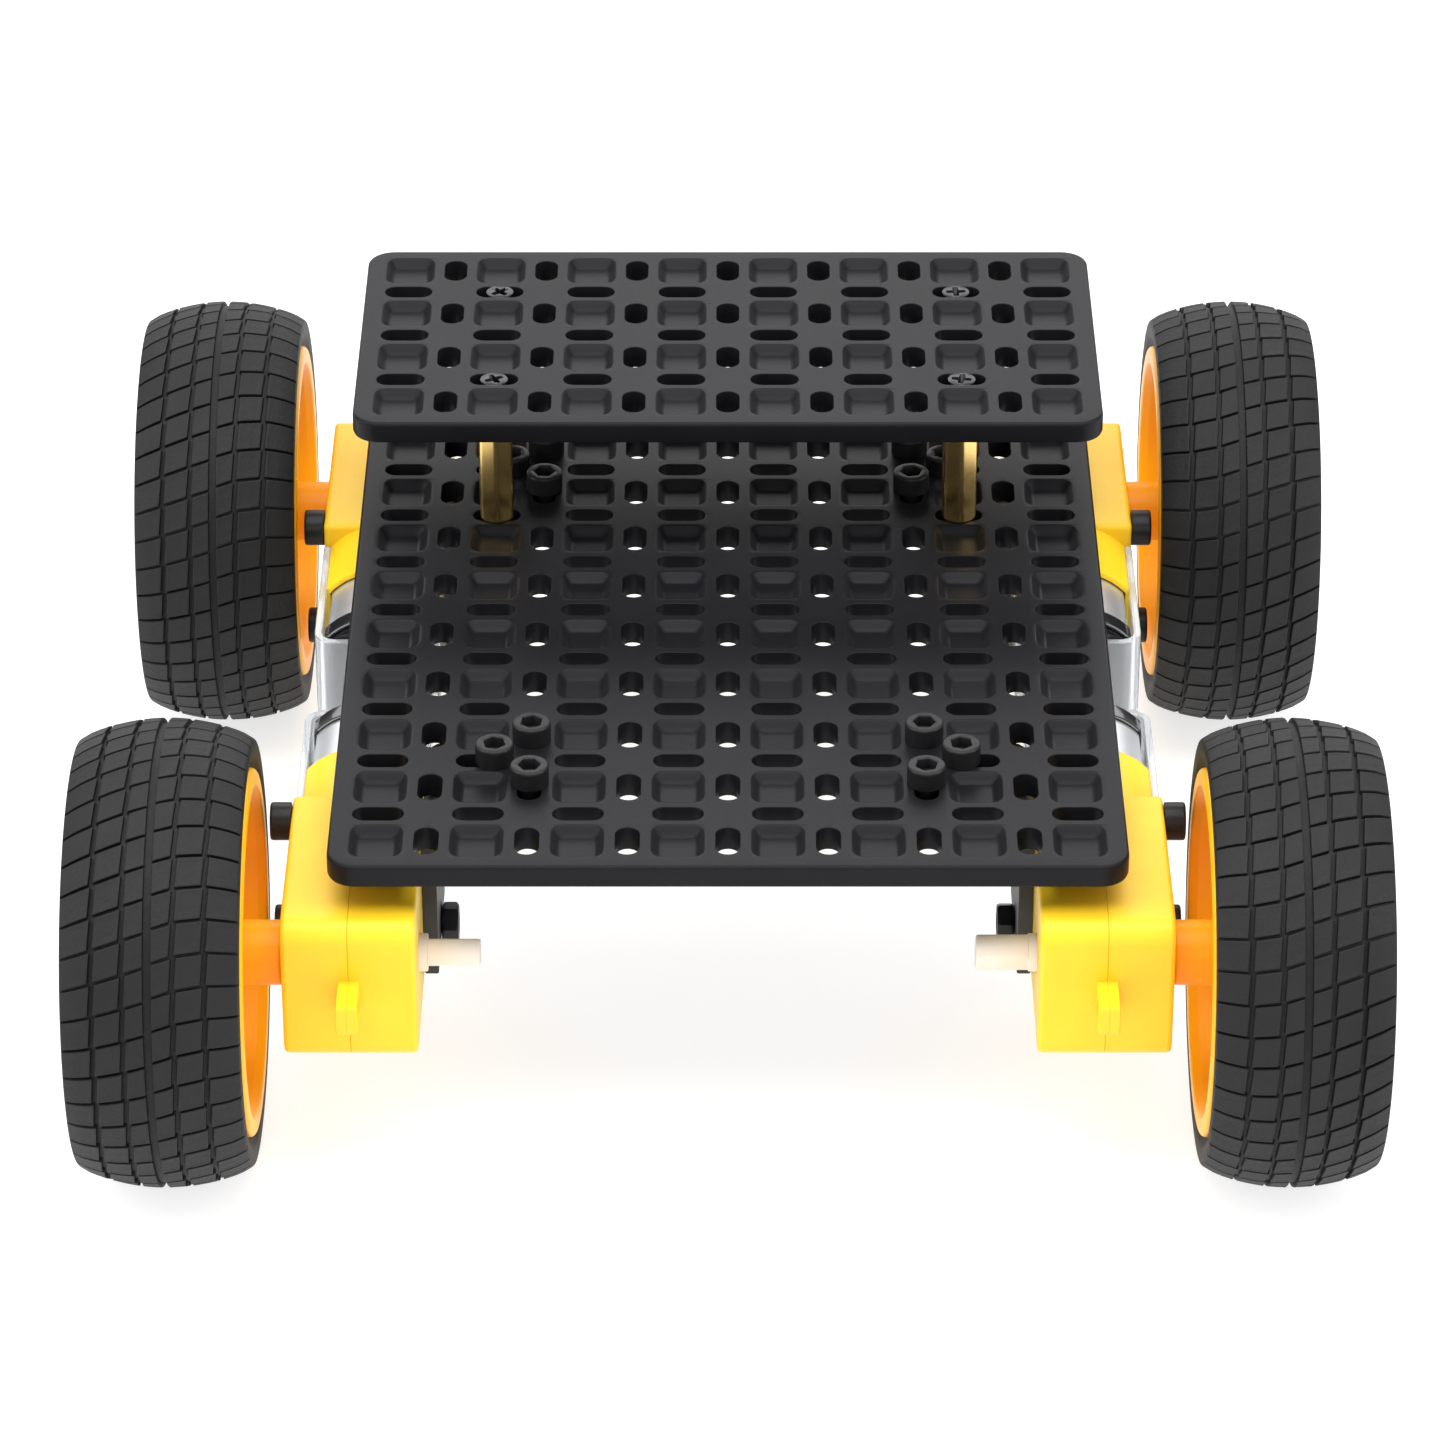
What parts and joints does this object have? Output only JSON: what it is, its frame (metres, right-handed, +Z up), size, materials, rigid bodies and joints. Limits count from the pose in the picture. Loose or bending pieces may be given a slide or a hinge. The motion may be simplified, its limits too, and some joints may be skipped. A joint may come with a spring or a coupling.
{
  "type": "four-wheeled robot chassis",
  "caption": "Robot chassis with slotted upper and lower plates on hex standoffs, geared motors in yellow gearboxes on brackets, and block-tread road wheels.",
  "frame": {"origin": "on the floor, midway between the four wheels", "axes": "+X to the robot's right, -Y to its front, +Z up"},
  "size_m": [0.1824, 0.191, 0.0755],
  "materials": {
    "plate_plastic": "satin moulded black",
    "standoff_brass": "machined, bright",
    "tyre_rubber": "matte rubber",
    "rim_plastic": "satin moulded orange-yellow",
    "gear_plastic": "milky white nylon",
    "gearbox_plastic": "satin moulded yellow",
    "motor_steel": "nickel plated",
    "motor_cap": "white nylon",
    "rotor_metal": "steel laminations and copper winding",
    "screw_black": "black oxide",
    "bracket_black": "matte black",
    "strap_clear": "translucent clear moulding",
    "ring_black": "gloss black"
  },
  "bodies": {
    "chassis": {"lower_plate": "plate_plastic", "upper_plate": "plate_plastic", "standoff_front_left": "standoff_brass", "standoff_front_right": "standoff_brass", "standoff_rear_left": "standoff_brass", "standoff_rear_right": "standoff_brass", "gearbox_outer_shell_front_right": "gearbox_plastic", "gearbox_inner_shell_front_right": "gearbox_plastic", "motor_can_front_right": "motor_steel", "motor_end_cap_front_right": "motor_cap", "motor_screw_a_front_right": "screw_black", "motor_screw_b_front_right": "screw_black", "motor_bracket_front_right": "bracket_black", "gearbox_outer_shell_front_left": "gearbox_plastic", "gearbox_inner_shell_front_left": "gearbox_plastic", "motor_can_front_left": "motor_steel", "motor_end_cap_front_left": "motor_cap", "motor_screw_a_front_left": "screw_black", "motor_screw_b_front_left": "screw_black", "motor_bracket_front_left": "bracket_black", "gearbox_outer_shell_rear_left": "gearbox_plastic", "gearbox_inner_shell_rear_left": "gearbox_plastic", "motor_can_rear_left": "motor_steel", "motor_end_cap_rear_left": "motor_cap", "motor_screw_a_rear_left": "screw_black", "motor_screw_b_rear_left": "screw_black", "motor_bracket_rear_left": "bracket_black", "gearbox_outer_shell_rear_right": "gearbox_plastic", "gearbox_inner_shell_rear_right": "gearbox_plastic", "motor_can_rear_right": "motor_steel", "motor_end_cap_rear_right": "motor_cap", "motor_screw_a_rear_right": "screw_black", "motor_screw_b_rear_right": "screw_black", "motor_bracket_rear_right": "bracket_black"},
    "wheel_front_right": {"tyre_front_right": "tyre_rubber", "rim_front_right": "rim_plastic", "output_shaft_front_right": "gear_plastic"},
    "idler_front_right": {"idler_gear_front_right": "gear_plastic"},
    "crown_front_right": {"crown_gear_front_right": "gear_plastic"},
    "rotor_front_right": {"motor_rotor_front_right": "rotor_metal"},
    "wheel_front_left": {"tyre_front_left": "tyre_rubber", "rim_front_left": "rim_plastic", "output_shaft_front_left": "gear_plastic"},
    "idler_front_left": {"idler_gear_front_left": "gear_plastic"},
    "crown_front_left": {"crown_gear_front_left": "gear_plastic"},
    "rotor_front_left": {"motor_rotor_front_left": "rotor_metal"},
    "wheel_rear_left": {"tyre_rear_left": "tyre_rubber", "rim_rear_left": "rim_plastic", "output_shaft_rear_left": "gear_plastic"},
    "idler_rear_left": {"idler_gear_rear_left": "gear_plastic"},
    "crown_rear_left": {"crown_gear_rear_left": "gear_plastic"},
    "rotor_rear_left": {"motor_rotor_rear_left": "rotor_metal"},
    "wheel_rear_right": {"tyre_rear_right": "tyre_rubber", "rim_rear_right": "rim_plastic", "output_shaft_rear_right": "gear_plastic"},
    "idler_rear_right": {"idler_gear_rear_right": "gear_plastic"},
    "crown_rear_right": {"crown_gear_rear_right": "gear_plastic"},
    "rotor_rear_right": {"motor_rotor_rear_right": "rotor_metal"}
  },
  "joints": [
    {"name": "wheel_spin_front_right", "type": "hinge", "parent": "chassis", "child": "wheel_front_right", "pos_m": [0.0788, -0.0625, 0.033], "axis": [1, 0, 0], "continuous": true},
    {"name": "idler_spin_front_right", "type": "hinge", "parent": "chassis", "child": "idler_front_right", "pos_m": [0.0528, -0.0511, 0.033], "axis": [1, 0, 0], "continuous": true},
    {"name": "crown_spin_front_right", "type": "hinge", "parent": "chassis", "child": "crown_front_right", "pos_m": [0.0528, -0.0411, 0.033], "axis": [1, 0, 0], "continuous": true},
    {"name": "rotor_spin_front_right", "type": "hinge", "parent": "chassis", "child": "rotor_front_right", "pos_m": [0.0528, -0.0242, 0.033], "axis": [0, 1, 0], "continuous": true},
    {"name": "wheel_spin_front_left", "type": "hinge", "parent": "chassis", "child": "wheel_front_left", "pos_m": [-0.0788, -0.0625, 0.033], "axis": [1, 0, 0], "continuous": true},
    {"name": "idler_spin_front_left", "type": "hinge", "parent": "chassis", "child": "idler_front_left", "pos_m": [-0.0528, -0.0511, 0.033], "axis": [1, 0, 0], "continuous": true},
    {"name": "crown_spin_front_left", "type": "hinge", "parent": "chassis", "child": "crown_front_left", "pos_m": [-0.0528, -0.0411, 0.033], "axis": [1, 0, 0], "continuous": true},
    {"name": "rotor_spin_front_left", "type": "hinge", "parent": "chassis", "child": "rotor_front_left", "pos_m": [-0.0528, -0.0242, 0.033], "axis": [0, 1, 0], "continuous": true},
    {"name": "wheel_spin_rear_left", "type": "hinge", "parent": "chassis", "child": "wheel_rear_left", "pos_m": [-0.0788, 0.0625, 0.033], "axis": [1, 0, 0], "continuous": true},
    {"name": "idler_spin_rear_left", "type": "hinge", "parent": "chassis", "child": "idler_rear_left", "pos_m": [-0.0528, 0.0511, 0.033], "axis": [1, 0, 0], "continuous": true},
    {"name": "crown_spin_rear_left", "type": "hinge", "parent": "chassis", "child": "crown_rear_left", "pos_m": [-0.0528, 0.0411, 0.033], "axis": [1, 0, 0], "continuous": true},
    {"name": "rotor_spin_rear_left", "type": "hinge", "parent": "chassis", "child": "rotor_rear_left", "pos_m": [-0.0528, 0.0242, 0.033], "axis": [0, 1, 0], "continuous": true},
    {"name": "wheel_spin_rear_right", "type": "hinge", "parent": "chassis", "child": "wheel_rear_right", "pos_m": [0.0788, 0.0625, 0.033], "axis": [1, 0, 0], "continuous": true},
    {"name": "idler_spin_rear_right", "type": "hinge", "parent": "chassis", "child": "idler_rear_right", "pos_m": [0.0528, 0.0511, 0.033], "axis": [1, 0, 0], "continuous": true},
    {"name": "crown_spin_rear_right", "type": "hinge", "parent": "chassis", "child": "crown_rear_right", "pos_m": [0.0528, 0.0411, 0.033], "axis": [1, 0, 0], "continuous": true},
    {"name": "rotor_spin_rear_right", "type": "hinge", "parent": "chassis", "child": "rotor_rear_right", "pos_m": [0.0528, 0.0242, 0.033], "axis": [0, 1, 0], "continuous": true}
  ],
  "couplings": [
    {"joint": "idler_spin_front_right", "follows": "wheel_spin_front_right", "ratio": -4},
    {"joint": "crown_spin_front_right", "follows": "wheel_spin_front_right", "ratio": 16},
    {"joint": "rotor_spin_front_right", "follows": "wheel_spin_front_right", "ratio": 48},
    {"joint": "idler_spin_front_left", "follows": "wheel_spin_front_left", "ratio": -4},
    {"joint": "crown_spin_front_left", "follows": "wheel_spin_front_left", "ratio": 16},
    {"joint": "rotor_spin_front_left", "follows": "wheel_spin_front_left", "ratio": -48},
    {"joint": "idler_spin_rear_left", "follows": "wheel_spin_rear_left", "ratio": -4},
    {"joint": "crown_spin_rear_left", "follows": "wheel_spin_rear_left", "ratio": 16},
    {"joint": "rotor_spin_rear_left", "follows": "wheel_spin_rear_left", "ratio": 48},
    {"joint": "idler_spin_rear_right", "follows": "wheel_spin_rear_right", "ratio": -4},
    {"joint": "crown_spin_rear_right", "follows": "wheel_spin_rear_right", "ratio": 16},
    {"joint": "rotor_spin_rear_right", "follows": "wheel_spin_rear_right", "ratio": -48}
  ]
}
